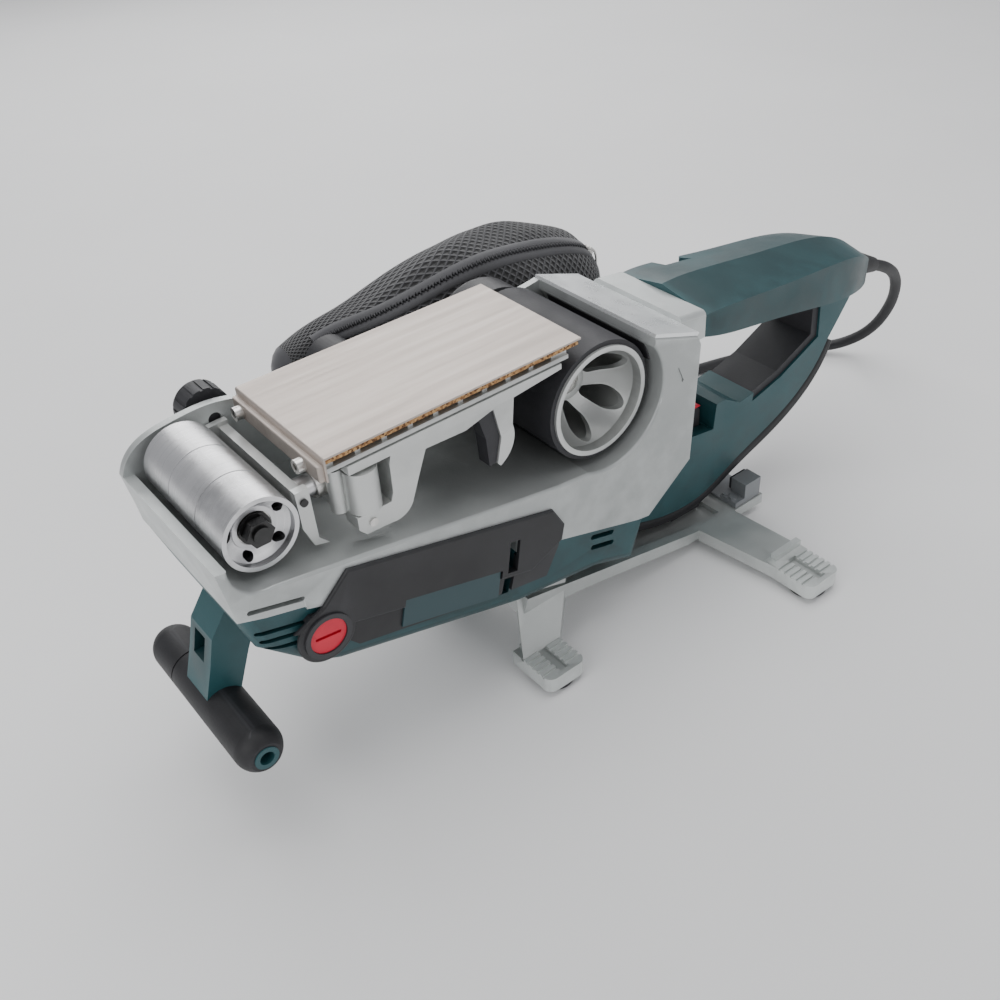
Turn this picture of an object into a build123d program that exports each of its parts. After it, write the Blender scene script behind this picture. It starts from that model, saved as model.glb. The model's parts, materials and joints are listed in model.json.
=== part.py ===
"""Belt sander parked upside down on its cast bench stand, with its dust bag and mains cord.

The sanding side faces up. X runs from the front roller to the rear handle, +Y is the side with the drive
belt cover and the dust bag, and Z is height above the bench. Design sizes are in millimetres, with X counted
from the front edge of the sole plate. The last step moves the origin to the middle of the footprint.
"""
from build123d import *
from math import cos, pi, radians, sin, tan
import os

# Driving dimensions
ORIGIN_X = 167.1
ORIGIN_Y = 13.5
SOLE_TOP = 190.0
SOLE_LENGTH = 140.0
HALF_BELT = 38.0
BODY_HALF = 46.0
HOUSING_HALF = 44.0
FAR_WALL_IN = 42.0
RUN_GAP = 0.05

FRONT_X, FRONT_H, FRONT_R, FRONT_HALF = -33.4, 168.1, 17.5, 37.0
REAR_X, REAR_H, REAR_R, REAR_HALF = 152.6, 148.9, 32.2, 38.6
POCKET_R = 36.0

MOTOR_X, MOTOR_H, MOTOR_PITCH = -19.0, 109.0, 10.7
STATOR_R, STATOR_BORE, CAVITY_R = 22.0, 14.0, 23.4
SHAFT_R = 3.5
CROSS_X, CROSS_H = 150.0, 77.07
PINION_R, CROWN_R = 6.5, 19.0
SMALL_PULLEY_R, LARGE_PULLEY_R = 12.0, 20.0
COVER_OUT = 66.0

LEVER_X, LEVER_Y = 17.0, -33.0
GRIP_HALF = 18.0
BAR_X, BAR_H, BAR_R, BAR_HALF = -61.0, 62.0, 11.8, 50.0
NEAR_FOOT = (103.0, 54.0)
REAR_FOOT = (260.0, 99.0)

CORD_R = 3.75
CORD_START = (428.0, 0.0, 112.5)
CORD_ROUTE = [
    CORD_START, (449, 1, 104), (471, 6, 84), (486, 16, 56), (491, 31, 27), (484, 50, 9.5), (467, 69, 4.6),
    (443, 86, 4.2), (413, 99, 4.0), (379, 108, 4.0), (343, 121, 3.9), (308, 140, 3.9), (278, 164, 3.9), (251, 189, 3.9),
]
COIL_X, COIL_Y, COIL_R = 190.0, 162.0, 45.0
COIL_WIDE, COIL_TALL = 31.0, 23.0

os.makedirs("parts", exist_ok=True)
nodes = {}


def add(name, *shapes):
    """Keep one named piece, made of one or more separate solids."""
    solids = [s for shape in shapes for s in shape.solids()]
    nodes[name] = Compound(children=solids) if len(solids) > 1 else solids[0]


def biggest(shape):
    return max(shape.solids(), key=lambda s: s.volume)


def outline(*lines):
    """A face bounded by lines drawn in (x, height)."""
    return make_face([e for line in lines for e in line.edges()])


def polygon(points):
    return outline(Polyline(*points, close=True))


def across(face, y0, y1):
    """A face drawn in (x, height), given width from y0 to y1."""
    plane = Plane(origin=(0, y1, 0), x_dir=(1, 0, 0), z_dir=(0, -1, 0))
    return extrude(plane * face, amount=y1 - y0)


def mirrored_across(face, inner, outer, side):
    y0, y1 = sorted((side * inner, side * outer))
    return across(face, y0, y1)


def rod(start, direction, radius, length):
    """A cylinder that starts at a point and runs along a direction."""
    plane = Plane(origin=start, z_dir=direction)
    return plane * Cylinder(radius, length, align=(Align.CENTER, Align.CENTER, Align.MIN))


def rod_y(x, h, radius, y0, y1):
    return rod((x, y0, h), (0, 1, 0), radius, y1 - y0)


def rod_z(x, y, radius, h0, h1):
    return rod((x, y, h0), (0, 0, 1), radius, h1 - h0)


def rod_x(y, h, radius, x0, x1):
    return rod((x0, y, h), (1, 0, 0), radius, x1 - x0)


def ring_y(x, h, outer, inner, y0, y1):
    return rod_y(x, h, outer, y0, y1) - rod_y(x, h, inner, y0 - 1, y1 + 1)


def block(x0, x1, y0, y1, h0, h1):
    return Pos((x0 + x1) / 2, (y0 + y1) / 2, (h0 + h1) / 2) * Box(x1 - x0, y1 - y0, h1 - h0)


def in_plane(y):
    """Edges that lie in the plane of one side face."""
    return lambda e: abs(e.bounding_box().min.Y - y) < 1e-3 and abs(e.bounding_box().max.Y - y) < 1e-3


def along_y(edge):
    return abs(edge.tangent_at(0.5).Y) > 0.99


def soften(shape, radius, keep):
    """Round the edges that a test picks out."""
    return fillet([e for e in shape.edges() if keep(e)], radius)


MOTOR_DIR = Vector(cos(radians(MOTOR_PITCH)), 0, -sin(radians(MOTOR_PITCH)))


def motor_plane(s):
    return Plane(origin=Vector(MOTOR_X, 0, MOTOR_H) + MOTOR_DIR * s, z_dir=MOTOR_DIR)


def motor_rod(s0, s1, radius):
    return motor_plane(s0) * Cylinder(radius, s1 - s0, align=(Align.CENTER, Align.CENTER, Align.MIN))


def notched(shape, plane, radius, count, depth, width, length):
    """Cut evenly spaced straight notches into a round piece."""
    cutters = [plane * Rot(0, 0, 360 * k / count) * Pos(radius, 0, 0) * Box(depth, width, length)
               for k in range(count)]
    return shape - cutters


# Outlines in (x, height)
PARTING = [(-56, 139), (-16, 124), (118, 84), (172, 67), (182, 65)]
FLOOR = [(-37, 147.9), (-6, 142.2), (24, 136.6), (81, 125.6), (118, 118.6)]
FRONT_LIP = [(-59.5, 167), (-57, 149)]
REAR_SIDE = [(182, 65), (212, 88), (215.5, 157), (212, 165), (181.6, 175.8)]
UNDERSIDE = [(182, 65), (172, 37), (144, 47), (90, 55), (-13, 85), (-25, 91), (-49, 116)]
GRIP_OUT = [(172, 37), (200, 24), (230, 16), (256, 16.6), (285, 27.5), (318, 39.5), (351, 58), (371, 86)]
GRIP_SEAM = [(176, 43), (203, 31), (232, 23.5), (255, 24.2), (281, 35), (313, 47.5), (344, 64.5), (364, 90)]
GRIP_IN = [(352, 124.5), (354, 96), (321, 81), (296, 74.5)]
PAD_EDGE = [(346.5, 125.7), (348, 99.5), (318, 86), (296.5, 80.5)]


PANEL_SLOT = [(84, 103), (90, 101.5), (87, 83), (81, 84.5)]
LOW_SLOT = [(80, 80), (86, 78.5), (83, 68), (77, 69.5)]


def roller_frame():
    """The cast frame: compartment floor, far wall, and the guard behind the drive roller."""
    turn = [(REAR_X + POCKET_R * cos(radians(a)), REAR_H + POCKET_R * sin(radians(a))) for a in (-115, -40, 37)]
    lip_in = (-54.2, 166)
    front_turn = ThreePointArc(lip_in, (-49.5, 152.6), FLOOR[0])
    pocket = ThreePointArc(*turn)
    profile = outline(
        Line(REAR_SIDE[-1], turn[2]), pocket, Polyline(*FLOOR, turn[0]), front_turn, Line(lip_in, FRONT_LIP[0]),
        Polyline(*FRONT_LIP, *PARTING), Polyline(*REAR_SIDE))
    tray = across(profile, -BODY_HALF, FAR_WALL_IN)
    tray = soften(tray, 1.5, lambda e: in_plane(-BODY_HALF)(e) and e.length > 25 and not is_low(e.center(), 12))
    crest = Spline(FRONT_LIP[0], (-50, 179), (-30, 184), (-12, 184.5), (12, 179), (60, 176.5), (176, 175), REAR_SIDE[-1])
    wall = across(outline(crest, Polyline(*FRONT_LIP, *PARTING), Polyline(*REAR_SIDE)), FAR_WALL_IN, BODY_HALF)
    body = tray + wall
    hollow = [(190, 72), (206, 92), (209, 156), (199, 164), (195, 160), (192.5, 130), (184, 112), (172, 102), (170, 76)]
    body -= across(polygon(hollow), -42, 38)
    body -= motor_rod(-16, 130, CAVITY_R)
    body -= rod_y(CROSS_X, CROSS_H, CROWN_R + 1, -20, 28)
    body -= motor_rod(120, 175, CROWN_R * 0.75)
    body -= rod_y(REAR_X, REAR_H, 11, 30, 60)
    body -= rod_y(CROSS_X, CROSS_H, 8, 20, 60)
    body -= rod_y(-12, 176, 3.3, 38, 60)
    body -= rod_y(70, 155, 14, 38, 60)
    for k in range(2):
        body -= vent(-38, 137.5 - 6 * k, 27, 2.4, -50, -40)
    body -= [mirrored_across(polygon(PANEL_SLOT), 38, 60, side) for side in (-1, 1)]
    body -= across(polygon([(199, 152), (203, 143), (202, 142), (197.6, 151.6)]), -50, -45.4)
    add("roller_frame", biggest(body))
    cover = [(REAR_SIDE[-1][0], REAR_SIDE[-1][1] + 0.05), (212, 165.05), (213.4, 166.2), (212.6, 167), (182.2, 177.6)]
    add("top_cover", across(polygon(cover), -45.5, 45.5))
    collar = across(polygon([(215.2, 151), (215.6, 157.1), (212.4, 165.1), (214, 169), (232, 166.5), (232, 151)]), -33, 33)
    collar = soften(collar, 3, lambda e: abs(e.tangent_at(0.5).X) > 0.9 and abs(e.center().Y) > 32 and e.center().Z > 160)
    add("arm_collar", collar - nodes["roller_frame"] - nodes["top_cover"])
    add("dust_brush", across(polygon([(186.4, 158), (190, 158), (186, 172), (181.4, 172)]), -37, 37) - nodes["roller_frame"])


def vent(x, h, length, height, y0, y1):
    """A slot that follows the slope of the parting line."""
    return across(Pos(x, h) * Rot(0, 0, -16) * SlotOverall(length, height), y0, y1)


def motor_housing():
    """The moulded housing round the motor, below the parting line."""
    body = across(polygon(PARTING[:-1] + UNDERSIDE[:-1] + [(-49, 116)]), -HOUSING_HALF, HOUSING_HALF)
    body = soften(body, 6, lambda e: not along_y(e) and abs(e.center().Y) > 43 and is_low(e.center()))
    body -= motor_rod(-16, 130, CAVITY_R)
    body -= rod_y(CROSS_X, CROSS_H, CROWN_R + 1, -20, 28)
    body -= motor_rod(120, 175, CROWN_R * 0.75)
    body -= rod_y(CROSS_X, CROSS_H, 8, 20, 60)
    body -= rod_y(MOTOR_X, MOTOR_H, 10.1, -60, 60)
    body = body + (motor_rod(-14, -5, 11) - motor_rod(-20, 0, 8)) - motor_rod(-5, 0, 12)
    for k in range(3):
        body -= vent(-37, 122.5 - 5.2 * k, 26 - 3 * k, 2.2, -50, -38)
    for k in range(2):
        body -= vent(148, 69 - 7 * k, 17, 3, -50, -40)
    for side in (-1, 1):
        body -= mirrored_across(polygon(PANEL_SLOT), 38, 60, side) + mirrored_across(polygon(LOW_SLOT), 38, 60, side)
    add("motor_housing", biggest(body))


def is_low(point, margin=-8):
    """True for points lower than the parting line plus a margin."""
    line = PARTING[0][1] + (point.X - PARTING[0][0]) * -0.314
    return point.Z < line + margin


def side_panels():
    """The dark service panels over the motor, one each side, with their badge plates and brush caps."""
    edge = [(-34, 118), (-18, 125), (-4, 138), (112, 107.5), (119, 95), (117, 86), (96, 77), (-4, 107)]
    badge = polygon([(22, 104), (78, 88), (75, 71.5), (18, 88)])
    for name, side in (("near", -1), ("far", 1)):
        panel = mirrored_across(polygon(edge), BODY_HALF, BODY_HALF + 2, side)
        panel += mirrored_across(Pos(MOTOR_X, MOTOR_H) * Circle(14.5), BODY_HALF, BODY_HALF + 2, side)
        panel = soften(panel, 1.2, in_plane(side * (BODY_HALF + 2)))
        panel += mirrored_across(polygon([(-30, 124), (116, 83), (113, 62), (-4, 92)]), HOUSING_HALF, BODY_HALF, side) & (
            mirrored_across(Pos(MOTOR_X, MOTOR_H) * Circle(14.5) + polygon(
                [(-19, 123), (117, 84), (107, 66), (12, 84), (-19, 95)]), HOUSING_HALF, BODY_HALF, side))
        panel -= mirrored_across(badge, BODY_HALF, BODY_HALF + 4, side)
        panel -= mirrored_across(polygon(PANEL_SLOT), 40, 60, side) + mirrored_across(polygon(LOW_SLOT), 40, 60, side)
        panel -= mirrored_across(Pos(MOTOR_X, MOTOR_H) * Circle(11.8), 40, 60, side)
        add(f"side_panel_{name}", biggest(panel - nodes["roller_frame"]))
        plate = mirrored_across(offset(badge, -0.5), BODY_HALF, BODY_HALF + 1, side)
        add(f"badge_plate_{name}", plate)
        centre = Pos(MOTOR_X, MOTOR_H)
        ring = mirrored_across(centre * Circle(11.8) - centre * Circle(9.3), HOUSING_HALF, BODY_HALF + 3, side)
        add(f"cap_ring_{name}", ring - nodes["motor_housing"] - nodes["roller_frame"])
        cap = mirrored_across(centre * Circle(9.2), 36, BODY_HALF + 2.2, side)
        slot = centre * Rot(0, 0, -8) * SlotOverall(13, 1.7)
        add(f"brush_cap_{name}", cap - mirrored_across(slot, BODY_HALF + 1, 60, side))
        y0, y1 = sorted((side * 9.8, side * 24))
        add(f"carbon_brush_{name}", block(MOTOR_X - 3, MOTOR_X + 3, y0, y1, MOTOR_H - 4, MOTOR_H + 4))
        sleeve = Pos(MOTOR_X, MOTOR_H) * (Rectangle(9, 11) - Rectangle(6.1, 8.1))
        add(f"brush_sleeve_{name}", mirrored_across(sleeve, 13, 36, side))


def motor():
    """Field stator, armature, commutator and fan, with the bearings at both ends."""
    add("field_stator", motor_rod(50, 102, STATOR_R) - motor_rod(40, 110, STATOR_BORE))
    core = notched(motor_rod(52, 100, STATOR_BORE - 0.6), motor_plane(76), STATOR_BORE - 1.5, 12, 3, 1.4, 60)
    add("armature_core", core - motor_rod(50, 102, SHAFT_R))
    coils = motor_rod(42, 51.9, 11.5) + motor_rod(100.1, 110, 11.5)
    add("armature_windings", coils - motor_rod(40, 112, SHAFT_R))
    bars = notched(motor_rod(-4, 10, 9.5), motor_plane(3), 9.5, 18, 1, 0.5, 20)
    add("commutator", bars - motor_rod(-10, 12, SHAFT_R))
    add("motor_shaft", motor_rod(-12, 162, SHAFT_R))
    fan = motor_rod(114, 116, 20) + motor_rod(114, 124, 7)
    for k in range(9):
        fan += motor_plane(119.5) * Rot(0, 0, 40 * k) * Pos(12.5, 0, 0) * Rot(0, 0, 20) * Box(13, 1.6, 8)
    add("cooling_fan", fan - motor_rod(110, 130, SHAFT_R))
    add("bearing_front", motor_rod(-12, -5.1, 8) - motor_rod(-20, 0, SHAFT_R + RUN_GAP))
    add("bearing_rear", motor_rod(128, 135, 9.5) - motor_rod(120, 140, SHAFT_R + RUN_GAP))
    shield = motor_rod(127, 129.9, CAVITY_R) + motor_rod(129, 135, 13)
    shield -= motor_rod(128, 140, 9.5)
    add("bearing_shield", shield - motor_rod(120, 140, 5))


def drive_train():
    """Pinion, crown gear and cross shaft, then the toothed belt that turns the roller shaft."""
    add("pinion", notched(motor_rod(153, 162, PINION_R), motor_plane(157), PINION_R, 9, 1.4, 2.2, 30)
        - motor_rod(150, 170, SHAFT_R))
    y_face = PINION_R + 0.4
    crown = ring_y(CROSS_X, CROSS_H, CROWN_R, 5, y_face, y_face + 6)
    face = Plane(origin=(CROSS_X, y_face, CROSS_H), z_dir=(0, 1, 0))
    add("crown_gear", notched(crown, face, CROWN_R - 3, 24, 8, 1.5, 2.4))
    add("cross_shaft", rod_y(CROSS_X, CROSS_H, 5, y_face, 62))
    add("cross_bearing", ring_y(CROSS_X, CROSS_H, 8, 5 + RUN_GAP, 29, 37))
    for name, x, h, radius, teeth, bore in (
            ("small_pulley", CROSS_X, CROSS_H, SMALL_PULLEY_R, 18, 5),
            ("large_pulley", REAR_X, REAR_H, LARGE_PULLEY_R, 30, 6)):
        wheel = notched(rod_y(x, h, radius, 50.5, 60), Plane(origin=(x, 55, h), z_dir=(0, 1, 0)),
                        radius, teeth, 1.4, 1.6, 20)
        wheel += rod_y(x, h, radius + 1.2, 49.5, 50.5)
        add(name, wheel - rod_y(x, h, bore, 40, 70))
    add("toothed_belt", across(pulley_hull(2.4) - pulley_hull(0.35), 51, 60))
    shell = across(pulley_hull(9.8), BODY_HALF, COVER_OUT)
    shell = soften(shell, 4, in_plane(COVER_OUT))
    add("belt_cover", shell - across(pulley_hull(7), BODY_HALF - 1, COVER_OUT - 2.5))
    spots = [(REAR_X - 16, REAR_H + 18), (REAR_X + 16, REAR_H + 18), (CROSS_X, CROSS_H - 12)]
    add("cover_screws", *[rod_y(x, h, 2.6, COVER_OUT, COVER_OUT + 1.6) for x, h in spots])


def pulley_hull(grow):
    """The band round both pulleys, as a face grown by a distance."""
    small = Pos(CROSS_X, CROSS_H) * Circle(SMALL_PULLEY_R + grow)
    large = Pos(REAR_X, REAR_H) * Circle(LARGE_PULLEY_R + grow)
    return make_hull(small.edges() + large.edges())


def dished_web(hub_r, rim_r, y_hub, y_rim, thick, count, inner_hole, outer_hole):
    """A dished web from a deep hub out to a rim, opened by a ring of tapered holes."""
    belly = ((hub_r + rim_r) / 2 - 1, y_hub + (y_rim - y_hub) * 0.28)
    near = [(hub_r - 1, y_hub), belly, (rim_r + 0.5, y_rim)]
    far = [(r, y + thick) for r, y in near[::-1]]
    face = outline(ThreePointArc(*near), Line(near[2], far[0]), ThreePointArc(*far), Line(far[2], near[0]))
    web = revolve(face, Axis.Y, 360)
    for k in range(count):
        a = 2 * pi * (k + 0.3) / count
        (r0, s0), (r1, s1) = inner_hole, outer_hole
        b = a + 0.12
        tear = make_hull((Pos(r0 * cos(a), r0 * sin(a)) * Circle(s0)).edges()
                         + (Pos(r1 * cos(b), r1 * sin(b)) * Circle(s1)).edges())
        web -= across(tear, -60, 60)
    return web


def drive_roller():
    """The cast drive wheel with its deep dished spokes, rubber lagging, shaft and bearing."""
    web = Pos(REAR_X, 0, REAR_H) * dished_web(9, 27, -12, -34, 4, 6, (13.4, 3.0), (20.6, 5.9))
    wheel = ring_y(REAR_X, REAR_H, 29.6, 27, -REAR_HALF, REAR_HALF) + web
    wheel += ring_y(REAR_X, REAR_H, 9.5, 6, -14.5, 34)
    wheel += ring_y(REAR_X, REAR_H, 27.5, 6, 26, 30)
    add("drive_roller", biggest(wheel - rod_y(REAR_X, REAR_H, 6, -60, 60)))
    add("roller_lagging", ring_y(REAR_X, REAR_H, REAR_R, 29.6, -REAR_HALF + 1.5, REAR_HALF))
    add("drive_shaft", rod_y(REAR_X, REAR_H, 6, -13.5, 62))
    add("drive_bearing", ring_y(REAR_X, REAR_H, 11, 6 + RUN_GAP, 39, 47))


def front_roller():
    """The idler roller on its cantilevered axle, with its bearings, washer and nut."""
    x, h = FRONT_X, FRONT_H
    shell = ring_y(x, h, FRONT_R, 15.4, -FRONT_HALF, FRONT_HALF)
    for y in (-13, 12):
        shell -= ring_y(x, h, FRONT_R + 1, FRONT_R - 0.3, y - 0.35, y + 0.35)
    shell += Pos(x, 0, h) * dished_web(9.5, 15.6, -30, -34, 3, 5, (12.2, 1.7), (12.9, 2.1))
    shell += ring_y(x, h, 10, 8, -31, -20) + ring_y(x, h, 15.6, 8, 18, 27)
    add("front_roller", biggest(shell))
    for name, y in (("near", -30), ("far", 19)):
        add(f"idler_bearing_{name}", ring_y(x, h, 8, 4 + RUN_GAP, y, y + 7))
    add("front_axle", rod_y(x, h, 4, -38.4, 42.2 - 1))
    add("axle_washer", ring_y(x, h, 7.4, 4, -31.8, -30.4))
    nut = extrude(Plane(origin=(x, -31.9, h), x_dir=(1, 0, 0), z_dir=(0, -1, 0)) * RegularPolygon(6.6, 6), amount=5)
    add("axle_nut", nut - rod_y(x, h, 4, -60, 0))


def yoke():
    """The sliding yoke that carries the axle, its stem, and the guide the stem slides in."""
    x, h = FRONT_X, FRONT_H
    arm = across(polygon([(x - 8, h - 6), (x - 8, h + 6), (-12, 176), (-8, 176), (-8, 160), (x + 6, h - 8)]), 37.8, 41.2)
    beam = block(-13, -8.5, -30, 41, 160, 174)
    cheek = across(polygon([(-14.5, 177), (-8, 177), (-7.5, 150), (-3, 145), (-10, 147), (-14, 158)]), -34, -30)
    body = arm + beam + cheek
    add("roller_yoke", biggest(body - rod_y(x, h, 4, 0, 60)))
    add("yoke_screw", rod_y(-11.2, 171, 1.8, -35, -34))
    add("tension_rod", rod_x(-18, 166, 5.2, -8.5, 58))
    guide = block(30, 52, -27, -9, 157, 182.2) - rod_x(-18, 166, 5.25, 0, 90)
    add("rod_guide", guide)
    add("rod_spring", rod_x(-18, 166, 7.0, 0.5, 29.5) - rod_x(-18, 166, 5.6, -5, 40))


def sole():
    """Sole support, cork and steel plate, with the bar and screws that clamp the plate's front lip."""
    top = SOLE_TOP - 1
    plate = block(-1, SOLE_LENGTH, -HALF_BELT, HALF_BELT, top, SOLE_TOP)
    plate += block(-1, 0, -HALF_BELT, HALF_BELT, top - 11, SOLE_TOP)
    add("sole_plate", soften(plate, 0.9, lambda e: along_y(e) and e.center().X < -0.5 and e.center().Z > top))
    add("cork_pad", block(0.1, SOLE_LENGTH - 1.5, -HALF_BELT + 0.3, HALF_BELT - 0.3, top - 2.2, top))
    bed = block(0, 132, -HALF_BELT, HALF_BELT, 182.2, top - 2.2)
    for k in range(9):
        bed -= block(4 + 13.5 * k, 14.8 + 13.5 * k, -HALF_BELT - 1, -HALF_BELT + 7, 184.4, top)
    bed -= block(-1, 140, -HALF_BELT - 1, -HALF_BELT + 1.5, 184.4, top)
    bed += block(0, 10, -20, HALF_BELT - 1, 177, 184)
    for x0, x1 in ((12, 30), (104, 124)):
        bed += block(x0, x1, 14, FAR_WALL_IN, 168, 183)
    add("sole_support", bed - rod_y(-12, 176, 3.4, 30, 60))
    bar = block(-3.8, -1, -HALF_BELT + 1, HALF_BELT - 1, 178.5, 186.5)
    add("clamp_bar", soften(bar, 0.7, lambda e: e.center().X < -3.7))
    heads = [rod_x(y, 182, 3.3, -7.4, -3.8) - rod_x(y, 182, 1.6, -8, -5.4) for y in (-24, 30)]
    add("sole_screws", *heads)


def tension_lever():
    """The belt release: a barrel post, and the lever that swings out round it."""
    x, y = LEVER_X, LEVER_Y
    post = rod_z(x, y, 8, 154, 175.5) + rod_z(x - 9.5, y + 5, 4, 154, 176.5)
    post += block(x - 12, x - 3, y + 5, -10, 156, 176.5) + block(x - 6, x + 6, -20, -10, 168, 182.2)
    post -= rod_x(-18, 166, 7.3, -20, 60)
    add("tension_post", biggest(post - rod_z(x, y, 3.05, 100, 200)))
    add("lever_pin", rod_z(x, y, 3, 146.5, 181))
    near, far = -38.8, -28.5
    strip = polygon([(9, 181.6), (127, 181.6), (127, 178.8), (98, 176), (84, 174.5), (70, 171), (46, 172), (30, 177), (9, 177)])
    fork = outline(
        Polyline((30, 177), (48, 172), (43, 160), (38, 147.5)), ThreePointArc((38, 147.5), (33, 143), (26, 142.5)),
        Polyline((26, 142.5), (13, 143), (9.5, 147), (9.5, 153.6), (27.4, 153.6), (28.8, 158), (29, 173), (30, 177)))
    hook = outline(
        Polyline((86, 175), (98, 176.4), (96.5, 162)), ThreePointArc((96.5, 162), (95, 149), (88, 142.5)),
        Polyline((88, 142.5), (86.5, 144.5), (89.5, 158), (86, 175)))
    lever = across(strip, near, far) + across(fork, near, far) + across(hook, near, far)
    lever -= rod_z(x, y, 9.2, 153.7, 177.0)
    add("tension_lever", biggest(lever - rod_z(x, y, 3, 100, 200)))
    insert = [(78, 172.8), (86.2, 174.7), (89.4, 158), (86.4, 144.6), (82.5, 144), (81.5, 160)]
    add("lever_insert", across(polygon(insert), near + 1.2, far - 1) - nodes["tension_lever"])
    add("lever_set_screw", rod_y(x, 148, 2.1, near - 0.8, near))


def tracking_knob():
    """The ribbed knob on the far side that sets the belt's tracking, on its screw."""
    x, h = -12.0, 176.0
    knob = soften(rod_y(x, h, 12, 50, 62), 2, in_plane(62))
    knob = notched(knob, Plane(origin=(x, 57, h), z_dir=(0, 1, 0)), 12.4, 14, 2, 1.8, 20)
    add("tracking_knob", knob - rod_y(x, h, 3, 40, 58))
    add("tracking_screw", rod_y(x, h, 3, 43, 58))


def rear_handle():
    """The curved grip with its soft outer skin and inner pad, and the flat arm that closes the loop."""
    seam, back = Spline(*GRIP_SEAM), Spline(*GRIP_OUT)
    inner = Polyline(*GRIP_IN)
    throat = [GRIP_IN[-1], PAD_EDGE[-1], (284, 79), (271, 87), (263.5, 87), (262, 70), (214, 78), (212.2, 88), (182.1, 65), GRIP_SEAM[0]]
    heel = [GRIP_SEAM[-1], (373, 102), (384, 117.4), GRIP_IN[0]]
    grip = across(outline(seam, Polyline(*heel), inner, Polyline(*throat)), -GRIP_HALF, GRIP_HALF)
    pocket = block(222, 260, -9.8, 9.8, 36, 100)
    add("rear_grip", biggest(grip - pocket - nodes["roller_frame"] - nodes["motor_housing"]))
    ends = (Line(GRIP_OUT[0], GRIP_SEAM[0]), Line(GRIP_SEAM[-1], GRIP_OUT[-1]))
    skin = across(outline(back, ends[1], seam, ends[0]), -GRIP_HALF, GRIP_HALF)
    skin = soften(skin, 3, lambda e: not along_y(e) and abs(e.center().Y) > 17.9 and e.length > 100 and on_outside(e))
    add("grip_skin_outer", skin - nodes["motor_housing"])


def on_outside(edge):
    """True for the long edges on the palm side of the grip."""
    return edge.center().Z < 39.5


def grip_pad():
    """The soft pad under the fingers, on the inside of the grip."""
    add("grip_pad_inner", across(polygon(PAD_EDGE + GRIP_IN[::-1]), -16.5, 16.5))


def controls():
    """Trigger with its red edge, the switch it works, and its return spring."""
    body = soften(block(223, 259, -9.1, 9.1, 62, 84), 4, lambda e: e.center().Z > 83.9 and abs(e.center().Y) < 1)
    add("trigger", body)
    add("trigger_edge", block(222.4, 259.6, -9.4, 9.4, 84, 86) & soften(
        block(222.4, 259.6, -9.4, 9.4, 70, 86), 4, lambda e: e.center().Z > 85.9 and abs(e.center().Y) < 1))
    add("switch_body", block(224, 258, -9, 9, 37, 53))
    add("trigger_spring", rod_z(241, 0, 4, 53.1, 61.9) - rod_z(241, 0, 2.8, 50, 64))


def handle_arm():
    """The flat arm, a shallow ridge along its back, narrowing to the cord end."""
    stations = [(232.2, 33, 164, 170, 151), (285, 31.5, 158.5, 165, 139), (330, 29, 153, 159, 129),
                (368, 25, 146.5, 152, 120.5), (392, 18.5, 137, 141.5, 116), (407, 10.5, 125.5, 128, 113.5)]
    sections = []
    for x, half, side, ridge, low in stations:
        plane = Plane(origin=(x, 0, 0), x_dir=(0, 1, 0), z_dir=(1, 0, 0))
        sections.append(plane * make_face(Polyline(
            (-half, low), (half, low), (half, side), (0, ridge), (-half, side), close=True)))
    arm = loft(sections)
    arm -= block(258, 281, 22, 40, 120, 200) - rod_z(281, 27, 5, 100, 210)
    add("handle_arm", arm - nodes["rear_grip"] - nodes["grip_pad_inner"])


def front_handle():
    """The neck in front of the housing and the soft bar across it, on a tube."""
    neck = [(-49, 116), (-36, 102.46), (-43, 88), (-52, 66), (-70, 66), (-62, 90), (-58, 104)]
    body = across(polygon(neck), -10.5, 10.5) - block(-64, -53.5, -4, 6, 88, 101)
    bar = rod_y(BAR_X, BAR_H, BAR_R, -BAR_HALF + 9, BAR_HALF - 9)
    bar += Pos(BAR_X, -BAR_HALF + 9, BAR_H) * Sphere(BAR_R) + Pos(BAR_X, BAR_HALF - 9, BAR_H) * Sphere(BAR_R)
    bar &= block(-90, -30, -BAR_HALF, BAR_HALF, 40, 90)
    bar -= ring_y(BAR_X, BAR_H, BAR_R + 1, BAR_R - 0.5, 21.6, 22.4)
    bar -= rod_y(BAR_X, BAR_H, 6, -60, 60)
    add("front_bar_grip", bar)
    add("handle_neck", biggest(body - rod_y(BAR_X, BAR_H, BAR_R, -60, 60) - nodes["motor_housing"]))
    add("bar_tube", ring_y(BAR_X, BAR_H, 6, 3.6, -BAR_HALF - 0.6, BAR_HALF + 0.6))


def leg(x_top, h_top, x_pad, side, y_top, y_pad, h_pad):
    """A tapering leg between the spine and one foot pad."""
    faces = []
    for y, (x0, x1), (h0, h1) in ((y_top, x_top, h_top), (y_pad, x_pad, h_pad)):
        faces.append(Plane(origin=(0, side * y, 0), x_dir=(1, 0, 0), z_dir=(0, -1, 0)) * Polygon(
            (x0, h0), (x1, h0), (x1, h1), (x0, h1), align=None))
    return loft(faces, ruled=True)


def foot_pad(x0, x1, y_in, y_out, side):
    """A clamping pad with a centre slot, ribs each side of it, and a raised bar behind."""
    y0, y1 = sorted((side * y_in, side * y_out))
    pad = block(x0, x1, y0, y1, 4, 13.5)
    pad = soften(pad, 5, lambda e: abs(e.tangent_at(0.5).Z) > 0.99 and abs(e.center().Y) > y_out - 1)
    middle = (x0 + x1) / 2
    lo, hi = sorted((side * (y_in + 9), side * (y_out - 3)))
    pad -= block(middle - 3, middle + 3, lo, hi, 10, 20)
    for k in range(5):
        y = side * (y_out - 5 - 4.2 * k)
        lo, hi = sorted((y, y - side * 2))
        pad -= block(x0 - 1, x1 + 1, lo, hi, 12, 20)
    lo, hi = sorted((side * (y_in + 1), side * (y_in + 5)))
    return pad + block(x0 + 4, x1, lo, hi, 13, 17)


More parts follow.
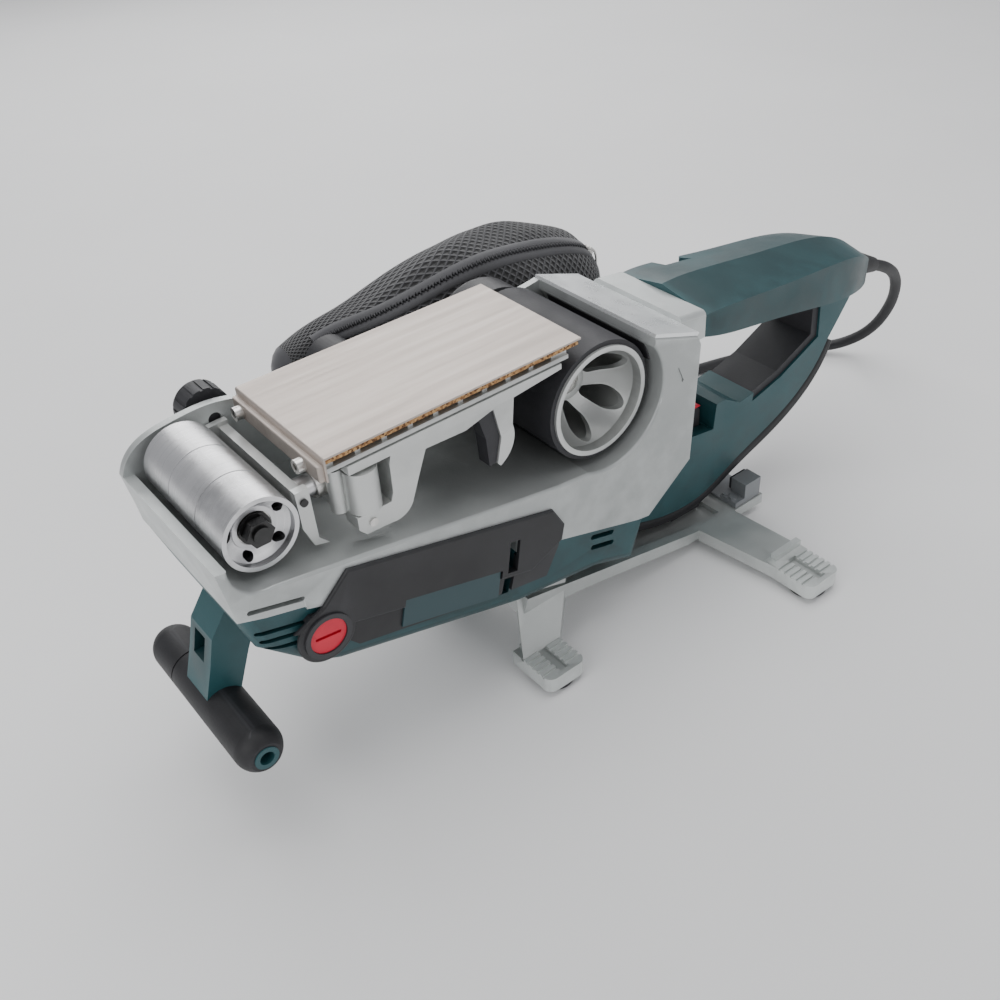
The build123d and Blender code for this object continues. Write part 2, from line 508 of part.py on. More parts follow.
def stand():
    """The cast bench stand: a sloping spine, four legs with ribbed pads, and its rubber feet."""
    spine = [(100, 31), (143, 25), (228, 8), (296, 5), (296, 12), (262, 12), (234, 14.4), (146, 33), (104, 42)]
    frame = across(polygon(spine), -33, 33)
    trough = [(120, 43), (146, 36), (232, 18), (262, 16), (262, 9), (228, 12.4), (144, 29), (120, 33.5)]
    frame -= across(polygon(trough), -27, 27)
    for side in (-1, 1):
        frame += leg((100, 136), (28, 42), (90, 116), side, 28, 44, (4.5, 13))
        frame += foot_pad(90, 116, 35, 66, side)
        frame += leg((238, 268), (6, 14), (247, 273), side, 30, 86, (4.5, 13))
        frame += foot_pad(247, 273, 77, 111, side)
    add("stand_frame", biggest(frame))
    feet = [rod_z(x, s * y, 11, 0, 4) for s in (-1, 1) for x, y in (NEAR_FOOT, REAR_FOOT)]
    add("rubber_feet", *[soften(f, 1, lambda e: e.center().Z < 0.1) for f in feet])
    saddle = across(polygon([(104, 41), (120, 38.4), (132, 35.5), (134, 48.2), (104, 52.7)]), -24, 24)
    add("front_saddle", saddle - nodes["stand_frame"] - nodes["motor_housing"])
    seat = across(polygon([(234, 12), (258, 11), (258, 15.9), (234, 15.3)]), -14, 14)
    add("rear_seat", seat - nodes["stand_frame"] - nodes["grip_skin_outer"])


def clamp():
    """The sliding jaw that straddles the grip, with its soft pads and screws."""
    base = block(272, 294, -32, 32, 12.3, 16)
    jaw = base + block(280, 294, -32, -20.6, 15, 26) + block(280, 294, 20.6, 32, 15, 26)
    add("clamp_jaw", jaw - block(270, 297, -19, 19, 13.8, 40))
    add("jaw_pads", block(280.5, 293.5, -20.6, -18.6, 17, 25), block(280.5, 293.5, 18.6, 20.6, 17, 25))
    add("jaw_screws", *[rod_z(x, y, 2.4, 16, 17.2) for x in (275,) for y in (-27, -21, 21, 27)])


def dust_parts():
    """The dust outlet on the far side, and the zipped mesh bag on it."""
    add("dust_port", ring_y(70, 155, 14, 11.5, 43, 84) + ring_y(70, 155, 17, 11.5, 46, 49))
    stations = [(52, 97, 150, 13, 14), (75, 99, 152, 17, 17), (110, 101, 150, 24, 22), (160, 103, 149, 31, 31),
                (195, 103, 147, 35, 34), (225, 103, 141, 34, 34), (252, 102, 134, 28, 29), (267, 101, 128, 15, 17)]
    rings = [Plane(origin=(x, y, h), x_dir=(0, 1, 0), z_dir=(1, 0, 0)) * Ellipse(a, b) for x, y, h, a, b in stations]
    bag = loft(rings) - nodes["belt_cover"] - rod_y(70, 155, 14.05, 40, 84.1)
    add("dust_bag", biggest(bag))
    band_face = [Plane(origin=(x, y, h), x_dir=(0, 1, 0), z_dir=(1, 0, 0)) * Ellipse(a + 0.8, b + 0.8)
                 for x, y, h, a, b in stations]
    band = (loft(band_face) - bag) & block(60, 262, 60, 78, 140, 200)
    add("zip_band", biggest(band))


def corner_radii(points):
    """The radius of each tangent arc, from its two runs and the turn between them."""
    radii = []
    for a, b, c in zip(points, points[1:], points[2:]):
        first, second = Vector(*b) - Vector(*a), Vector(*c) - Vector(*b)
        half_turn = radians(first.get_angle(second)) / 2
        radii.append(0.45 * min(first.length, second.length) / tan(half_turn))
    return radii


def cord():
    """Strain relief, the free run of cord, the stored coil with its tie, and the plug."""
    radii = corner_radii(CORD_ROUTE)
    path = FilletPolyline(*CORD_ROUTE, radius=radii)
    tube = sweep(Plane(origin=path @ 0, z_dir=path % 0) * Circle(CORD_R), path=path)
    add("cord", tube)
    lowest = tube.bounding_box().min.Z
    print("cord", round(path.length), "mm, radii", [round(r) for r in radii], "lowest", round(lowest, 2))
    print("tube volume over section", round(tube.volume / (pi * CORD_R**2 * path.length), 3))
    back = Vector(*CORD_START) - Vector(*CORD_ROUTE[1])
    relief = Plane(origin=CORD_START, z_dir=back) * Cone(4.9, 7.8, 24, align=(Align.CENTER, Align.CENTER, Align.MIN))
    add("strain_relief", relief - nodes["handle_arm"])
    turns = rod_z(COIL_X, COIL_Y, COIL_R + COIL_WIDE / 2, 0.2, COIL_TALL)
    turns = soften(turns - rod_z(COIL_X, COIL_Y, COIL_R - COIL_WIDE / 2, -1, 50), 5, lambda e: True)
    stub = Plane(origin=path @ 1, z_dir=path % 1) * Cylinder(CORD_R, 30, align=(Align.CENTER, Align.CENTER, Align.MIN))
    add("cord_coil", biggest(turns + stub))
    tie = block(COIL_X - 6, COIL_X + 6, COIL_Y + COIL_R - COIL_WIDE / 2 - 1.5, COIL_Y + COIL_R + COIL_WIDE / 2 + 1.5,
                0, COIL_TALL + 1.2)
    add("cord_tie", tie - nodes["cord_coil"])
    plug()


def plug():
    """A two pin mains plug on the end of the lead."""
    at = Pos(COIL_X - 92, COIL_Y - 6, 12) * Rot(0, 0, -12)
    body = at * (Pos(0, 0, 0) * Box(34, 26, 22))
    body = soften(body, 5, lambda e: True)
    tail = at * rod((16, 0, 0), (1, 0, 0), 5.5, 14)
    add("plug_body", body + tail - nodes["cord_coil"])
    add("plug_pins", at * rod((-36, -9.5, 0), (1, 0, 0), 2.4, 19), at * rod((-36, 9.5, 0), (1, 0, 0), 2.4, 19))


# Small or repeated pieces of one material and one body share a file, as separate solids
GROUPS = {
    "side_panels": ("side_panel_near", "side_panel_far", "cap_ring_near", "cap_ring_far"),
    "badge_plates": ("badge_plate_near", "badge_plate_far"),
    "brush_caps": ("brush_cap_near", "brush_cap_far"),
    "carbon_brushes": ("carbon_brush_near", "carbon_brush_far"),
    "motor_insulators": ("bearing_shield", "brush_sleeve_near", "brush_sleeve_far"),
    "idler_bearings": ("idler_bearing_near", "idler_bearing_far"),
    "shaft_bearings": ("bearing_front", "bearing_rear", "cross_bearing", "drive_bearing"),
    "body_screws": ("cover_screws", "sole_screws"),
    "front_axle": ("front_axle", "axle_washer", "axle_nut", "yoke_screw"),
    "lever_pin": ("lever_pin", "lever_set_screw"),
    "armature_copper": ("armature_windings", "commutator"),
    "motor_shaft": ("motor_shaft", "pinion"),
    "crown_gear": ("crown_gear", "cross_shaft"),
    "stand_rubbers": ("rubber_feet", "front_saddle", "rear_seat"),
    "grip_rubbers": ("grip_skin_outer", "grip_pad_inner"),
    "handle_neck": ("handle_neck", "bar_tube"),
    "clamp_jaw": ("clamp_jaw", "jaw_screws"),
    "tracking_knob": ("tracking_knob", "tracking_screw"),
    "sole_support": ("sole_support", "tension_post", "rod_guide"),
    "sole_plate": ("sole_plate", "clamp_bar"),
}


def share_files():
    """Join the pieces of each group under one name."""
    for group, members in GROUPS.items():
        solids = [s for name in members for s in nodes.pop(name).solids()]
        nodes[group] = Compound(children=solids)


def main():
    roller_frame()
    motor_housing()
    side_panels()
    motor()
    drive_train()
    drive_roller()
    front_roller()
    yoke()
    sole()
    tension_lever()
    tracking_knob()
    rear_handle()
    grip_pad()
    controls()
    handle_arm()
    front_handle()
    stand()
    clamp()
    dust_parts()
    cord()
    share_files()
    for name, shape in nodes.items():
        export_step(Pos(-ORIGIN_X, -ORIGIN_Y, 0) * shape, f"parts/{name}.step")


main()
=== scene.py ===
"""Belt sander upside down on its bench stand: materials, dust bag, cord, light and camera."""
import bpy
import bmesh
import json
from math import cos, pi, radians, sin, tau
from mathutils import Matrix, Vector


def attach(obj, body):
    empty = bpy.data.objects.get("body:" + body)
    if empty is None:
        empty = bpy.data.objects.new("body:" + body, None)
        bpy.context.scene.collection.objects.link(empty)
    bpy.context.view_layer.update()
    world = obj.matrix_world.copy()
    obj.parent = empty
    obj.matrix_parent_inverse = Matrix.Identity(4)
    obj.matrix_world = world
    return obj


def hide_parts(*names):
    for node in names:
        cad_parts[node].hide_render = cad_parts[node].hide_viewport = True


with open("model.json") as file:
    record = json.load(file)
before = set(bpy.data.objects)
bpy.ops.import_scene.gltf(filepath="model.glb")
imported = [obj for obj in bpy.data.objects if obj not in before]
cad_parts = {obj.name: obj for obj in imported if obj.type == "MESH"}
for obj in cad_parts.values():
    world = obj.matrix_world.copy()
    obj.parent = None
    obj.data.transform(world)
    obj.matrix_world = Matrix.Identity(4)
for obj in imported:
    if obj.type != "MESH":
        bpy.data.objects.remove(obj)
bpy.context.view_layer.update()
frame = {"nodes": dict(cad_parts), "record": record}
BASE = "machine_and_stand"
MM = 0.001
ORIGIN = Vector((167.1, 13.5, 0.0))


def at(x, y, h):
    """A design point in millimetres, as a point in the row frame in metres."""
    return (Vector((x, y, h)) - ORIGIN) * MM


# Camera
AZIMUTH, ELEVATION, ROLL = radians(-36.1), radians(38.095), radians(-4.221)
EYE = at(-159.03, -374.83, 448.95)


def make_camera():
    right = Vector((cos(AZIMUTH), sin(AZIMUTH), 0))
    ahead = Vector((-sin(AZIMUTH), cos(AZIMUTH), 0))
    level = Vector((0, 0, 1))
    forward = ahead * cos(ELEVATION) - level * sin(ELEVATION)
    up = ahead * sin(ELEVATION) + level * cos(ELEVATION)
    side = right * cos(ROLL) + up * sin(ROLL)
    top = up * cos(ROLL) - right * sin(ROLL)
    data = bpy.data.cameras.new("camera")
    data.sensor_width = 36.0
    data.lens = 39.6
    data.clip_start = 0.01
    camera = bpy.data.objects.new("camera", data)
    bpy.context.collection.objects.link(camera)
    turn = Matrix((side, top, -forward)).transposed().to_4x4()
    camera.matrix_world = Matrix.Translation(EYE) @ turn
    bpy.context.scene.camera = camera


make_camera()

# Cord: the same route as the CAD tube, then the stored turns
CORD_ROUTE = [
    (428, 0, 112.5), (449, 1, 104), (471, 6, 84), (486, 16, 56), (491, 31, 27),
    (484, 50, 9.5), (467, 69, 4.6), (443, 86, 4.2), (413, 99, 4.0), (379, 108, 4.0),
    (343, 121, 3.9), (308, 140, 3.9), (278, 164, 3.9), (251, 189, 3.9),
]
COIL_X, COIL_Y, COIL_R = 190.0, 162.0, 45.0
COIL_START = radians(50)
COIL_STEPS = 16
COLUMN_PITCH, LAYER_PITCH = 7.45, 7.0
CORD_D = 7.5


def coil_points():
    """Twelve turns in three layers of four, wound from the outside in and back out."""
    points = []
    columns = [3, 2, 1, 0, 0, 1, 2, 3, 3, 2, 1, 0]
    for k in range(len(columns) * COIL_STEPS):
        turn, part = divmod(k, COIL_STEPS)
        here, ahead = columns[turn], columns[min(turn + 1, 11)]
        level, next_level = turn // 4, min((turn + 1) // 4, 2)
        blend = max(0.0, part / COIL_STEPS - 0.7) / 0.3
        ring = here + (ahead - here) * blend
        height = level + (next_level - level) * blend
        radius = COIL_R + (ring - 1.5) * COLUMN_PITCH + 0.35 * sin(k * 1.7)
        angle = COIL_START + tau * k / COIL_STEPS
        x, y = COIL_X + radius * cos(angle), COIL_Y + radius * sin(angle)
        points.append((x, y, 4.0 + LAYER_PITCH * height))
    return points


def make_cord():
    curve = bpy.data.curves.new("mains_cord", "CURVE")
    curve.dimensions = "3D"
    spline = curve.splines.new("NURBS")
    points = [at(*p) for p in CORD_ROUTE + coil_points()]
    spline.points.add(len(points) - 1)
    for slot, point in zip(spline.points, points):
        slot.co = (*point, 1.0)
    spline.order_u = 3
    spline.use_endpoint_u = True
    spline.resolution_u = 6
    curve.bevel_depth = CORD_D / 2 * MM
    curve.bevel_resolution = 4
    cord = bpy.data.objects.new("mains_cord", curve)
    bpy.context.collection.objects.link(cord)
    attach(cord, BASE)
    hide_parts("cord", "cord_coil")
    return cord


# Materials
def new_material(name):
    material = bpy.data.materials.new(name)
    material.use_nodes = True
    tree = material.node_tree
    return material, tree, tree.nodes["Principled BSDF"]


def object_coords(tree, scale):
    coords = tree.nodes.new("ShaderNodeTexCoord")
    mapping = tree.nodes.new("ShaderNodeMapping")
    mapping.inputs["Scale"].default_value = scale
    tree.links.new(coords.outputs["Object"], mapping.inputs["Vector"])
    return mapping.outputs["Vector"]


def noise(tree, scale, stretch=(1, 1, 1), detail=4.0, rough=0.55):
    node = tree.nodes.new("ShaderNodeTexNoise")
    node.inputs["Scale"].default_value = scale
    node.inputs["Detail"].default_value = detail
    node.inputs["Roughness"].default_value = rough
    tree.links.new(object_coords(tree, stretch), node.inputs["Vector"])
    return node.outputs["Fac"]


def ramp(tree, factor, stops):
    node = tree.nodes.new("ShaderNodeValToRGB")
    elements = node.color_ramp.elements
    while len(elements) < len(stops):
        elements.new(0.5)
    for element, (place, color) in zip(elements, stops):
        element.position = place
        element.color = (*color, 1.0)
    tree.links.new(factor, node.inputs["Fac"])
    return node.outputs["Color"]


def spread(tree, factor, low, high):
    node = tree.nodes.new("ShaderNodeMapRange")
    node.inputs["From Min"].default_value = 0.3
    node.inputs["From Max"].default_value = 0.7
    node.inputs["To Min"].default_value = low
    node.inputs["To Max"].default_value = high
    tree.links.new(factor, node.inputs["Value"])
    return node.outputs["Result"]


def bump(tree, height, strength, distance):
    node = tree.nodes.new("ShaderNodeBump")
    node.inputs["Strength"].default_value = strength
    node.inputs["Distance"].default_value = distance
    tree.links.new(height, node.inputs["Height"])
    return node.outputs["Normal"]


def edge_wear(tree, color, worn, low=0.52, high=0.62):
    """Mixes in a worn colour where the surface is most convex."""
    geometry = tree.nodes.new("ShaderNodeNewGeometry")
    fine = noise(tree, 90.0)
    product = tree.nodes.new("ShaderNodeMath")
    product.operation = "MULTIPLY_ADD"
    product.inputs[1].default_value = 0.12
    tree.links.new(fine, product.inputs[0])
    tree.links.new(geometry.outputs["Pointiness"], product.inputs[2])
    mask = tree.nodes.new("ShaderNodeMapRange")
    mask.inputs["From Min"].default_value = low + 0.06
    mask.inputs["From Max"].default_value = high + 0.06
    tree.links.new(product.outputs[0], mask.inputs["Value"])
    mix = tree.nodes.new("ShaderNodeMix")
    mix.data_type = "RGBA"
    tree.links.new(mask.outputs["Result"], mix.inputs["Factor"])
    tree.links.new(color, mix.inputs[6])
    mix.inputs[7].default_value = (*worn, 1.0)
    return mix.outputs[2]


def shade(base, amount):
    return tuple(min(1.0, c * amount) for c in base)


def painted_casting(name, base, roughness=0.42, metallic=0.55):
    """Satin silver lacquer on a casting, with faint orange peel and rubbed edges."""
    material, tree, shader = new_material(name)
    cloud = noise(tree, 14.0)
    color = ramp(tree, cloud, [(0.35, shade(base, 0.9)), (0.68, shade(base, 1.07))])
    tree.links.new(edge_wear(tree, color, shade(base, 1.35)), shader.inputs["Base Color"])
    gloss = spread(tree, noise(tree, 60.0), roughness - 0.06, roughness + 0.08)
    tree.links.new(gloss, shader.inputs["Roughness"])
    shader.inputs["Metallic"].default_value = metallic
    tree.links.new(bump(tree, noise(tree, 900.0, detail=2.0), 0.16, 0.0004), shader.inputs["Normal"])
    return material


def bare_metal(name, base, roughness, stretch, grain=400.0, depth=0.2, stain=None):
    """Machined or brushed metal: fine grain along one direction, with soft stains."""
    material, tree, shader = new_material(name)
    stain = stain or shade(base, 0.8)
    cloud = noise(tree, 18.0, detail=6.0, rough=0.65)
    color = ramp(tree, cloud, [(0.36, stain), (0.5, base), (0.7, shade(base, 1.12))])
    tree.links.new(edge_wear(tree, color, shade(base, 1.4)), shader.inputs["Base Color"])
    shader.inputs["Metallic"].default_value = 1.0
    lines = noise(tree, grain, stretch, detail=3.0)
    tree.links.new(spread(tree, lines, roughness - 0.07, roughness + 0.12), shader.inputs["Roughness"])
    tree.links.new(bump(tree, lines, depth, 0.0002), shader.inputs["Normal"])
    return material


def moulded(name, base, roughness=0.5, grain=1400.0, depth=0.22, worn=1.8, sheen=0.0):
    """Spark textured plastic or rubber, a little lighter where it is rubbed."""
    material, tree, shader = new_material(name)
    color = ramp(tree, noise(tree, 22.0), [(0.32, shade(base, 0.82)), (0.7, shade(base, 1.18))])
    tree.links.new(edge_wear(tree, color, shade(base, worn)), shader.inputs["Base Color"])
    gloss = spread(tree, noise(tree, 45.0), roughness - 0.07, roughness + 0.09)
    tree.links.new(gloss, shader.inputs["Roughness"])
    tree.links.new(bump(tree, noise(tree, grain, detail=2.0), depth, 0.0003), shader.inputs["Normal"])
    shader.inputs["Sheen Weight"].default_value = sheen
    return material


def cork():
    """Brown cork seen on its edge: dark and light crumbs."""
    material, tree, shader = new_material("cork")
    cells = tree.nodes.new("ShaderNodeTexVoronoi")
    cells.inputs["Scale"].default_value = 900.0
    tree.links.new(object_coords(tree, (1, 1, 1)), cells.inputs["Vector"])
    stops = [(0.2, (0.13, 0.06, 0.025)), (0.5, (0.42, 0.22, 0.09)), (0.8, (0.62, 0.38, 0.17))]
    color = ramp(tree, cells.outputs["Color"], stops)
    tree.links.new(color, shader.inputs["Base Color"])
    shader.inputs["Roughness"].default_value = 0.9
    tree.links.new(bump(tree, cells.outputs["Distance"], 0.6, 0.0004), shader.inputs["Normal"])
    return material


def turned(name, base):
    """Bright turned aluminium: rings along the roller, faint scratches and smudges."""
    material, tree, shader = new_material(name)
    rings = noise(tree, 1.0, (6, 2600, 6), detail=3.0)
    smudge = noise(tree, 34.0, detail=7.0, rough=0.7)
    color = ramp(tree, smudge, [(0.3, shade(base, 0.72)), (0.48, base), (0.75, shade(base, 1.1))])
    tree.links.new(color, shader.inputs["Base Color"])
    shader.inputs["Metallic"].default_value = 1.0
    tree.links.new(spread(tree, rings, 0.24, 0.42), shader.inputs["Roughness"])
    tree.links.new(bump(tree, rings, 0.3, 0.00015), shader.inputs["Normal"])
    return material


def mesh_fabric(name, base):
    """Diamond knitted spacer mesh."""
    material, tree, shader = new_material(name)
    coords = tree.nodes.new("ShaderNodeUVMap")
    coords.uv_map = "weave"
    split = tree.nodes.new("ShaderNodeSeparateXYZ")
    tree.links.new(coords.outputs["UV"], split.inputs["Vector"])
    waves = []
    for sign in ("ADD", "SUBTRACT"):
        turn = tree.nodes.new("ShaderNodeMath")
        turn.operation = sign
        tree.links.new(split.outputs["X"], turn.inputs[0])
        tree.links.new(split.outputs["Y"], turn.inputs[1])
        wave = tree.nodes.new("ShaderNodeMath")
        wave.operation = "SINE"
        tree.links.new(turn.outputs[0], wave.inputs[0])
        size = tree.nodes.new("ShaderNodeMath")
        size.operation = "ABSOLUTE"
        tree.links.new(wave.outputs[0], size.inputs[0])
        waves.append(size.outputs[0])
    cell = tree.nodes.new("ShaderNodeMath")
    cell.operation = "MINIMUM"
    tree.links.new(waves[0], cell.inputs[0])
    tree.links.new(waves[1], cell.inputs[1])
    color = ramp(tree, cell.outputs[0], [(0.25, shade(base, 1.9)), (0.5, shade(base, 0.25))])
    tree.links.new(color, shader.inputs["Base Color"])
    shader.inputs["Roughness"].default_value = 0.85
    shader.inputs["Sheen Weight"].default_value = 0.3
    node = tree.nodes.new("ShaderNodeMath")
    node.operation = "MULTIPLY"
    node.inputs[1].default_value = -1.0
    tree.links.new(cell.outputs[0], node.inputs[0])
    tree.links.new(bump(tree, node.outputs[0], 0.9, 0.0012), shader.inputs["Normal"])
    return material


ALONG_X, ALL_WAYS = (0.05, 1, 1), (1, 1, 1)
SILVER, GREEN, BLACK = (0.47, 0.49, 0.485), (0.011, 0.046, 0.052), (0.013, 0.013, 0.015)

PLATE_STAIN = (0.31, 0.27, 0.245)

finishes = {
    "frame_silver": painted_casting("frame_silver", SILVER),
    "cover_bright": painted_casting("cover_bright", (0.72, 0.74, 0.8), 0.3, 0.7),
    "bare_casting": painted_casting("bare_casting", (0.5, 0.51, 0.5), 0.38, 0.7),
    "plate_steel": bare_metal("plate_steel", (0.4, 0.36, 0.33), 0.5, ALONG_X, 260.0, 0.1, PLATE_STAIN),
    "cork": cork(),
    "turned_alu": turned("turned_alu", (0.74, 0.74, 0.75)),
    "steel": bare_metal("steel", (0.55, 0.54, 0.52), 0.3, ALL_WAYS),
    "black_steel": bare_metal("black_steel", (0.05, 0.05, 0.05), 0.35, ALL_WAYS),
    "rubber_black": moulded("rubber_black", BLACK, 0.55, 900.0, 0.25, 2.2),
    "green_plastic": moulded("green_plastic", GREEN, 0.42, 1500.0, 0.2, 1.9),
    "black_plastic": moulded("black_plastic", (0.017, 0.017, 0.019), 0.45, 1500.0, 0.2, 2.0),
    "badge_plastic": moulded("badge_plastic", (0.012, 0.03, 0.035), 0.35, 1500.0, 0.1, 2.0),
    "red_plastic": moulded("red_plastic", (0.55, 0.012, 0.035), 0.4, 1200.0, 0.12, 1.3),
    "carbon": moulded("carbon", (0.02, 0.02, 0.02), 0.7, 800.0),
    "copper": bare_metal("copper", (0.72, 0.35, 0.2), 0.35, ALL_WAYS),
    "pin_brass": bare_metal("pin_brass", (0.75, 0.6, 0.35), 0.3, ALL_WAYS),
    "stand_alu": painted_casting("stand_alu", (0.52, 0.54, 0.53), 0.36, 0.65),
    "clamp_grey": painted_casting("clamp_grey", (0.22, 0.23, 0.24), 0.45, 0.6),
    "bag_mesh": mesh_fabric("bag_mesh", (0.03, 0.03, 0.033)),
    "zip_tape": moulded("zip_tape", (0.07, 0.07, 0.075), 0.8, 2500.0, 0.5, 1.2, 0.3),
}


def paint(obj, material):
    obj.data.materials.clear()
    obj.data.materials.append(material)


def paint_nodes():
    for part in frame["record"]["subparts"]:
        piece = frame["nodes"].get(part["node"])
        if piece:
            for entry in piece.material_slots:
                entry.material = finishes[part["material_slot"]]


paint_nodes()
cord = make_cord()
paint(cord, finishes["rubber_black"])


# Dust bag: a lofted mesh bag with a zip along its upper near side
BAG_STATIONS = [
    (52, 97, 150, 13, 14), (75, 99, 152, 17, 17), (110, 101, 150, 24, 22), (160, 103, 149, 31, 31),
    (195, 103, 147, 35, 34), (225, 103, 141, 34, 34), (252, 102, 134, 28, 29), (267, 101, 128, 15, 17),
]
BAG_SKIN = 0.8
WEAVE_ROUND, WEAVE_ALONG = 19, 137.34
ZIP_TURN = radians(128)
ZIP_FROM, ZIP_SPAN = 0.1, 0.84
ZIP_TEETH = 150


def bag_section(t):
    """Centre and half sizes of the bag at t from 0, at the outlet end, to 1."""
    place = t * (len(BAG_STATIONS) - 1)
    k = min(int(place), len(BAG_STATIONS) - 2)
    f = place - k
    rows = [BAG_STATIONS[max(0, min(len(BAG_STATIONS) - 1, k + d))] for d in (-1, 0, 1, 2)]
    curve = []
    for a, b, c, d in zip(*rows):
        square, cube = 2 * a - 5 * b + 4 * c - d, 3 * b - a - 3 * c + d
        curve.append(0.5 * (2 * b + (c - a) * f + square * f**2 + cube * f**3))
    return curve


def bag_point(t, turn, lift=0.0):
    """A point on the bag, lifted off its surface by some millimetres."""
    x, y, h, wide, tall = bag_section(t)
    fold = 0.9 * sin(9 * turn + 14 * t) * sin(pi * t) + 1.3 * sin(3 * turn - 23 * t) * sin(pi * t)
    slump = 1.0 - 0.04 * max(0.0, -sin(turn)) * sin(pi * t)
    reach_y, reach_h = wide - BAG_SKIN + lift + fold * 0.5, (tall - BAG_SKIN) * slump + lift + fold * 0.5
    return at(x, y + reach_y * cos(turn), h + reach_h * sin(turn))


def make_bag():
    rows, columns = 96, 120
    mesh = bmesh.new()
    weave = mesh.loops.layers.uv.new("weave")
    grid = []
    for i in range(rows + 1):
        grid.append([mesh.verts.new(bag_point(i / rows, tau * j / columns)) for j in range(columns)])
    for i in range(rows):
        for j in range(columns):
            face = mesh.faces.new((grid[i][j], grid[i][(j + 1) % columns], grid[i + 1][(j + 1) % columns],
                                   grid[i + 1][j]))
            spots = [(i, j), (i, j + 1), (i + 1, j + 1), (i + 1, j)]
            for loop, (a, b) in zip(face.loops, spots):
                loop[weave].uv = (tau * WEAVE_ROUND * b / columns, WEAVE_ALONG * a / rows)
    for end, step in ((0, -1), (rows, 1)):
        ring = grid[end]
        middle = sum((v.co for v in ring), Vector()) / columns
        for shrink, push in ((0.82, 3.0), (0.5, 6.0), (0.15, 7.2)):
            inner = []
            for v in grid[end]:
                offset = Vector((step * push * MM, 0, 0))
                inner.append(mesh.verts.new(middle + (v.co - middle) * shrink + offset))
            for j in range(columns):
                k = (j + 1) % columns
                mesh.faces.new((ring[j], ring[k], inner[k], inner[j]) if step > 0 else
                               (ring[k], ring[j], inner[j], inner[k]))
            ring = inner
        mesh.faces.new(ring if step > 0 else ring[::-1])
    bmesh.ops.recalc_face_normals(mesh, faces=mesh.faces)
    return finish_mesh(mesh, "mesh_bag", "bag_mesh")


def finish_mesh(mesh, name, slot):
    data = bpy.data.meshes.new(name)
    mesh.to_mesh(data)
    mesh.free()
    for face in data.polygons:
        face.use_smooth = True
    piece = bpy.data.objects.new(name, data)
    bpy.context.collection.objects.link(piece)
    paint(piece, finishes[slot])
    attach(piece, BASE)
    return piece


def make_zip():
    """Two tapes and the row of teeth between them."""
    mesh = bmesh.new()
    steps = 140
    for side in (-1, 1):
        strip = []
        for i in range(steps + 1):
            t = ZIP_FROM + ZIP_SPAN * i / steps
            row = []
            for part, lift in ((0.03, 0.9), (0.12, 1.1), (0.26, 0.7), (0.3, -0.6)):
                turn = ZIP_TURN + side * part * 26 / (bag_section(t)[3] + 6)
                row.append(mesh.verts.new(bag_point(t, turn, lift)))
            strip.append(row)
        for low, high in zip(strip, strip[1:]):
            for k in range(3):
                mesh.faces.new((low[k], low[k + 1], high[k + 1], high[k]))
    bmesh.ops.recalc_face_normals(mesh, faces=mesh.faces)
    tape = finish_mesh(mesh, "zip_tapes", "zip_tape")
    teeth = bmesh.new()
    for i in range(ZIP_TEETH):
        t = ZIP_FROM + ZIP_SPAN * i / ZIP_TEETH
        side = 0.012 if i % 2 else -0.012
        base, peak = bag_point(t, ZIP_TURN + side, 0.6), bag_point(t, ZIP_TURN + side, 2.0)
        made = bmesh.ops.create_cube(teeth, size=1.0)["verts"]
        along = (bag_point(t + 0.003, ZIP_TURN, 0.6) - bag_point(t, ZIP_TURN, 0.6)).normalized()
        out = (peak - base).normalized()
        turn = Matrix((along, out.cross(along), out)).transposed().to_4x4()
        scale = Matrix.Diagonal((0.0009, 0.0022, 0.0012, 1.0))
        bmesh.ops.transform(teeth, matrix=Matrix.Translation((base + peak) / 2) @ turn @ scale, verts=made)
    finish_mesh(teeth, "zip_teeth", "black_plastic")
    return tape


def tube(name, points, radius, slot):
    curve = bpy.data.curves.new(name, "CURVE")
    curve.dimensions = "3D"
    spline = curve.splines.new("NURBS")
    spline.points.add(len(points) - 1)
    for entry, point in zip(spline.points, points):
        entry.co = (*point, 1.0)
    spline.order_u = 3
    spline.use_endpoint_u = True
    curve.bevel_depth = radius
    curve.use_fill_caps = True
    piece = bpy.data.objects.new(name, curve)
    bpy.context.collection.objects.link(piece)
    paint(piece, finishes[slot])
    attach(piece, BASE)
    return piece


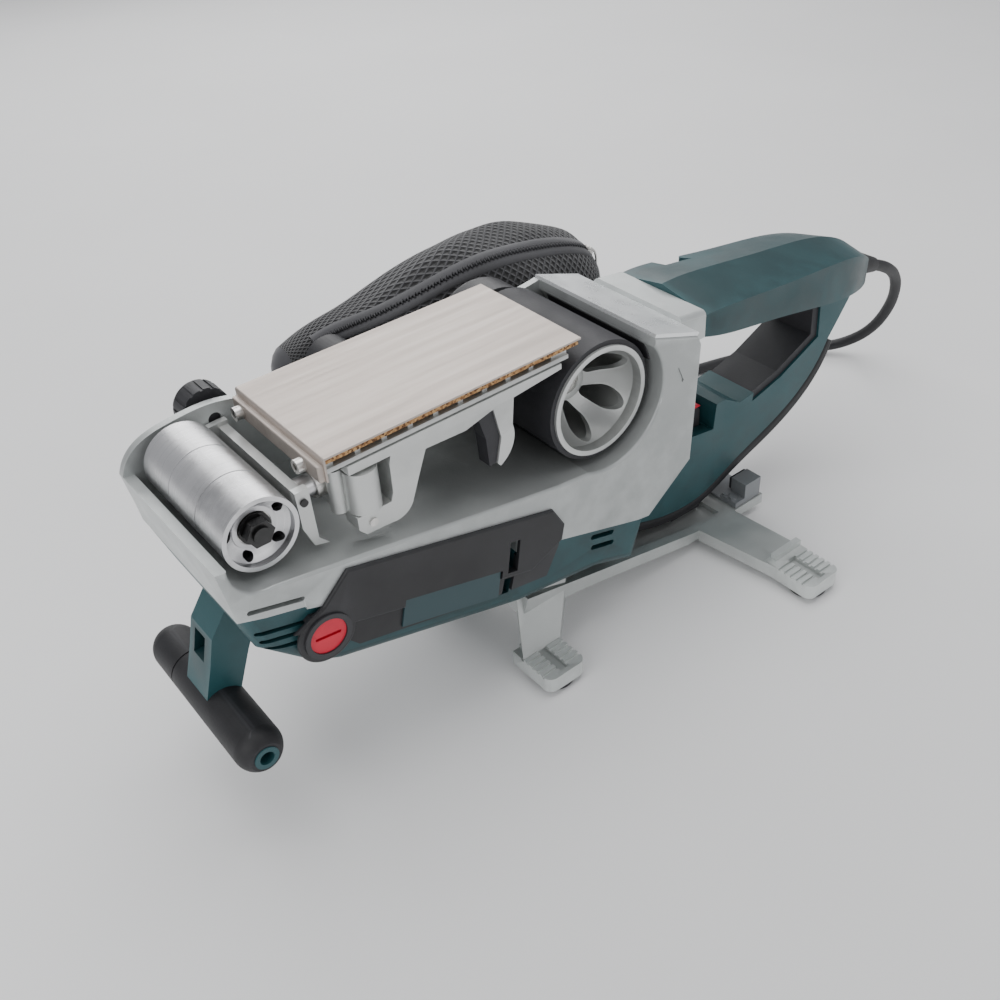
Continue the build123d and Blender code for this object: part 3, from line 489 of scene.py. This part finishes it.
def make_slider():
    """The slider at the round end of the bag, with its tail."""
    home = bag_point(0.9, ZIP_TURN, 1.6)
    tip = bag_point(0.93, ZIP_TURN, 2.2)
    mesh = bmesh.new()
    made = bmesh.ops.create_cube(mesh, size=1.0)["verts"]
    along = (tip - home).normalized()
    out = (bag_point(0.9, ZIP_TURN, 6) - home).normalized()
    turn = Matrix((along, out.cross(along), out)).transposed().to_4x4()
    scale = Matrix.Diagonal((0.010, 0.006, 0.0032, 1.0))
    bmesh.ops.transform(mesh, matrix=Matrix.Translation(home) @ turn @ scale, verts=made)
    bmesh.ops.bevel(mesh, geom=mesh.edges[:], offset=0.0009, segments=2, affect="EDGES")
    finish_mesh(mesh, "zip_slider", "steel")
    run = [home + out * 0.0018, home + out * 0.0026 + along * 0.006, tip + out * 0.001 + along * 0.006,
           tip + along * 0.014 - out * 0.004, tip + along * 0.020 - out * 0.012]
    tube("zip_tail", run, 0.0007, "steel")


bag = make_bag()
tapes = make_zip()
make_slider()
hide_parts("dust_bag")
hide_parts("zip_band")


# Floor, light and world
def make_stage():
    bpy.ops.mesh.primitive_plane_add(size=12, location=(0, 0, 0))
    floor = bpy.context.object
    floor.name = "floor"
    material, tree, shader = new_material("floor")
    color = ramp(tree, noise(tree, 3.0), [(0.3, (0.86, 0.86, 0.86)), (0.7, (0.9, 0.9, 0.9))])
    tree.links.new(color, shader.inputs["Base Color"])
    shader.inputs["Roughness"].default_value = 0.75
    paint(floor, material)


def area_light(name, place, target, size, power, color=(1, 1, 1)):
    data = bpy.data.lights.new(name, "AREA")
    data.shape = "RECTANGLE"
    data.size, data.size_y = size
    data.energy = power
    data.color = color
    light = bpy.data.objects.new(name, data)
    bpy.context.collection.objects.link(light)
    light.location = place
    light.rotation_euler = (Vector(target) - Vector(place)).to_track_quat("-Z", "Y").to_euler()


make_stage()
area_light("top_soft", (0.1, 0.2, 1.5), (0, 0, 0.1), (1.6, 1.2), 15)
area_light("back_window", (0.6, 1.4, 0.9), (0, 0, 0.15), (1.6, 0.8), 13)
area_light("left_window", (-1.3, -0.3, 0.8), (0, 0, 0.12), (0.9, 1.2), 7)
area_light("front_fill", (0.3, -1.5, 0.7), (0, 0, 0.1), (1.4, 0.8), 4)
world = bpy.data.worlds.new("studio")
world.use_nodes = True
world.node_tree.nodes["Background"].inputs["Color"].default_value = (0.95, 0.96, 1.0, 1.0)
world.node_tree.nodes["Background"].inputs["Strength"].default_value = 0.4
bpy.context.scene.world = world
